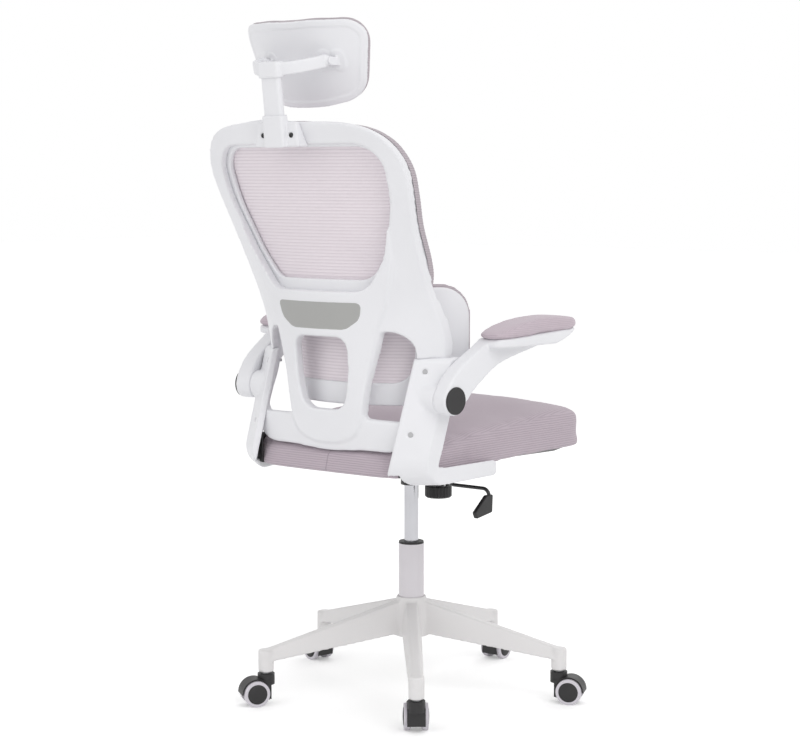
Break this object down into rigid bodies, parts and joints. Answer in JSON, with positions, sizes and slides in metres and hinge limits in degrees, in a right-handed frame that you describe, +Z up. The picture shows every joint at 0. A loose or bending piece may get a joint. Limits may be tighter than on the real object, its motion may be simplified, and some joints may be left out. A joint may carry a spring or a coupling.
{
  "type": "mesh office chair",
  "caption": "Swivel office chair with a mesh back in a moulded loop frame, headrest, lumbar support, flip-up arms, gas lift and star base on twin-wheel casters.",
  "frame": {"origin": "on the floor under the axis of the gas lift", "axes": "+Z up, the sitter faces -Y, the sitter's right-hand side is -X"},
  "size_m": [0.6746, 0.7732, 1.2914],
  "materials": {
    "white_plastic": "fine satin moulding",
    "base_white": "satin moulding",
    "mesh": "ribbed mesh over thin foam",
    "seat_fabric": "ribbed woven fabric",
    "arm_fabric": "ribbed woven fabric",
    "grey_panel": "satin grey panel",
    "black_plastic": "fine moulded grain",
    "black_metal": "black powder coat",
    "column_silver": "silver paint",
    "chrome": "polished",
    "steel": "turned steel",
    "wheel": "pale tread with a black cap"
  },
  "bodies": {
    "base": {"five_star_base": "base_white", "caster_stems": "steel", "column_tube": "column_silver", "column_bush": "black_plastic", "thrust_bearing": "steel"},
    "swivel": {"piston_rod": "steel"},
    "lift": {"gas_cylinder": "chrome", "tilt_chassis": "black_metal", "tilt_pin": "steel"},
    "valve": {"valve_button": "steel"},
    "lever": {"lever_rod": "black_metal", "lever_paddle": "black_plastic"},
    "seat": {"seat_plate": "black_metal", "tension_bolt": "steel", "tension_spring": "steel", "seat_pan": "black_plastic", "seat_cushion": "seat_fabric", "seat_bolts": "steel", "arm_bracket_left": "white_plastic", "arm_bracket_right": "white_plastic", "arm_pivot_pins": "steel", "back_frame": "white_plastic", "back_mesh_ring": "white_plastic", "back_mesh": "mesh", "spine_insert": "grey_panel", "headrest_bracket": "white_plastic", "back_screws": "steel"},
    "knob": {"tension_knob": "black_plastic"},
    "headrest_carrier": {"headrest_stem": "white_plastic", "headrest_yoke": "white_plastic"},
    "headrest": {"headrest_shell": "white_plastic", "headrest_pad": "mesh"},
    "lumbar": {"lumbar_frame": "white_plastic", "lumbar_mesh": "mesh"},
    "arm_left": {"arm_beam_left": "white_plastic", "arm_pad_left": "arm_fabric", "arm_cap_left": "black_plastic"},
    "arm_right": {"arm_beam_right": "white_plastic", "arm_pad_right": "arm_fabric", "arm_cap_right": "black_plastic"},
    "caster_1": {"caster_1_hood": "black_plastic", "caster_1_axle": "steel"},
    "caster_1_left": {"caster_1_wheel_left": "wheel"},
    "caster_1_right": {"caster_1_wheel_right": "wheel"},
    "caster_2": {"caster_2_hood": "black_plastic", "caster_2_axle": "steel"},
    "caster_2_left": {"caster_2_wheel_left": "wheel"},
    "caster_2_right": {"caster_2_wheel_right": "wheel"},
    "caster_3": {"caster_3_hood": "black_plastic", "caster_3_axle": "steel"},
    "caster_3_left": {"caster_3_wheel_left": "wheel"},
    "caster_3_right": {"caster_3_wheel_right": "wheel"},
    "caster_4": {"caster_4_hood": "black_plastic", "caster_4_axle": "steel"},
    "caster_4_left": {"caster_4_wheel_left": "wheel"},
    "caster_4_right": {"caster_4_wheel_right": "wheel"},
    "caster_5": {"caster_5_hood": "black_plastic", "caster_5_axle": "steel"},
    "caster_5_left": {"caster_5_wheel_left": "wheel"},
    "caster_5_right": {"caster_5_wheel_right": "wheel"}
  },
  "joints": [
    {"name": "lift_swivel", "type": "hinge", "parent": "base", "child": "swivel", "pos_m": [0, 0, 0.12], "axis": [0, 0, 1], "continuous": true},
    {"name": "lift_height", "type": "slide", "parent": "swivel", "child": "lift", "axis": [0, 0, 1], "range_m": [-0.1, 0]},
    {"name": "height_lever", "type": "hinge", "parent": "lift", "child": "lever", "pos_m": [-0.05, 0, 0.4606], "axis": [0, 1, 0], "range_deg": [0, 4], "stiffness_Nm_per_rad": 1.5, "springref_deg": -5.73},
    {"name": "valve_press", "type": "slide", "parent": "lift", "child": "valve", "axis": [0, 0, -1], "range_m": [0, 0.0036]},
    {"name": "seat_tilt", "type": "hinge", "parent": "lift", "child": "seat", "pos_m": [0, -0.03, 0.45], "axis": [-1, 0, 0], "range_deg": [0, 12], "stiffness_Nm_per_rad": 70, "springref_deg": -34.38, "deforming": ["tension_spring"]},
    {"name": "tension_turn", "type": "hinge", "parent": "seat", "child": "knob", "pos_m": [0, -0.09, 0.388], "axis": [0, 0, 1], "continuous": true},
    {"name": "headrest_height", "type": "slide", "parent": "seat", "child": "headrest_carrier", "axis": [0, 0.1219, 0.9925], "range_m": [-0.025, 0.03]},
    {"name": "headrest_tilt", "type": "hinge", "parent": "headrest_carrier", "child": "headrest", "pos_m": [0, 0.347, 1.217], "axis": [1, 0, 0], "range_deg": [-12, 25]},
    {"name": "lumbar_height", "type": "slide", "parent": "seat", "child": "lumbar", "axis": [0, 0, 1], "range_m": [-0.018, 0.018]},
    {"name": "arm_flip_left", "type": "hinge", "parent": "seat", "child": "arm_left", "pos_m": [0.238, 0.205, 0.615], "axis": [-0.9925, -0.1219, 0], "range_deg": [0, 90]},
    {"name": "arm_flip_right", "type": "hinge", "parent": "seat", "child": "arm_right", "pos_m": [-0.238, 0.205, 0.615], "axis": [-0.9925, 0.1219, 0], "range_deg": [0, 90]},
    {"name": "caster_1_swivel", "type": "hinge", "parent": "base", "child": "caster_1", "pos_m": [0.16374, 0.24899, 0.05], "axis": [0, 0, 1], "continuous": true},
    {"name": "caster_1_roll_left", "type": "hinge", "parent": "caster_1", "child": "caster_1_left", "pos_m": [0.17638, 0.2682, 0.025], "axis": [-0.8355, 0.5495, 0], "continuous": true},
    {"name": "caster_1_roll_right", "type": "hinge", "parent": "caster_1", "child": "caster_1_right", "pos_m": [0.17638, 0.2682, 0.025], "axis": [-0.8355, 0.5495, 0], "continuous": true},
    {"name": "caster_2_swivel", "type": "hinge", "parent": "base", "child": "caster_2", "pos_m": [-0.1862, 0.23267, 0.05], "axis": [0, 0, 1], "continuous": true},
    {"name": "caster_2_roll_left", "type": "hinge", "parent": "caster_2", "child": "caster_2_left", "pos_m": [-0.17183, 0.21471, 0.025], "axis": [0.7808, 0.6248, 0], "continuous": true},
    {"name": "caster_2_roll_right", "type": "hinge", "parent": "caster_2", "child": "caster_2_right", "pos_m": [-0.17183, 0.21471, 0.025], "axis": [0.7808, 0.6248, 0], "continuous": true},
    {"name": "caster_3_swivel", "type": "hinge", "parent": "base", "child": "caster_3", "pos_m": [-0.27882, -0.10519, 0.05], "axis": [0, 0, 1], "continuous": true},
    {"name": "caster_3_roll_left", "type": "hinge", "parent": "caster_3", "child": "caster_3_left", "pos_m": [-0.30034, -0.11331, 0.025], "axis": [0.353, -0.9356, 0], "continuous": true},
    {"name": "caster_3_roll_right", "type": "hinge", "parent": "caster_3", "child": "caster_3_right", "pos_m": [-0.30034, -0.11331, 0.025], "axis": [0.353, -0.9356, 0], "continuous": true},
    {"name": "caster_4_swivel", "type": "hinge", "parent": "base", "child": "caster_4", "pos_m": [0.01388, -0.29768, 0.05], "axis": [0, 0, 1], "continuous": true},
    {"name": "caster_4_roll_left", "type": "hinge", "parent": "caster_4", "child": "caster_4_left", "pos_m": [0.01495, -0.32065, 0.025], "axis": [0.9989, 0.0466, 0], "continuous": true},
    {"name": "caster_4_roll_right", "type": "hinge", "parent": "caster_4", "child": "caster_4_right", "pos_m": [0.01495, -0.32065, 0.025], "axis": [0.9989, 0.0466, 0], "continuous": true},
    {"name": "caster_5_swivel", "type": "hinge", "parent": "base", "child": "caster_5", "pos_m": [0.2874, -0.07878, 0.05], "axis": [0, 0, 1], "continuous": true},
    {"name": "caster_5_roll_left", "type": "hinge", "parent": "caster_5", "child": "caster_5_left", "pos_m": [0.30958, -0.08486, 0.025], "axis": [0.2644, 0.9644, 0], "continuous": true},
    {"name": "caster_5_roll_right", "type": "hinge", "parent": "caster_5", "child": "caster_5_right", "pos_m": [0.30958, -0.08486, 0.025], "axis": [0.2644, 0.9644, 0], "continuous": true}
  ],
  "couplings": [
    {"joint": "valve_press", "follows": "height_lever", "m_per_rad": 0.05}
  ]
}
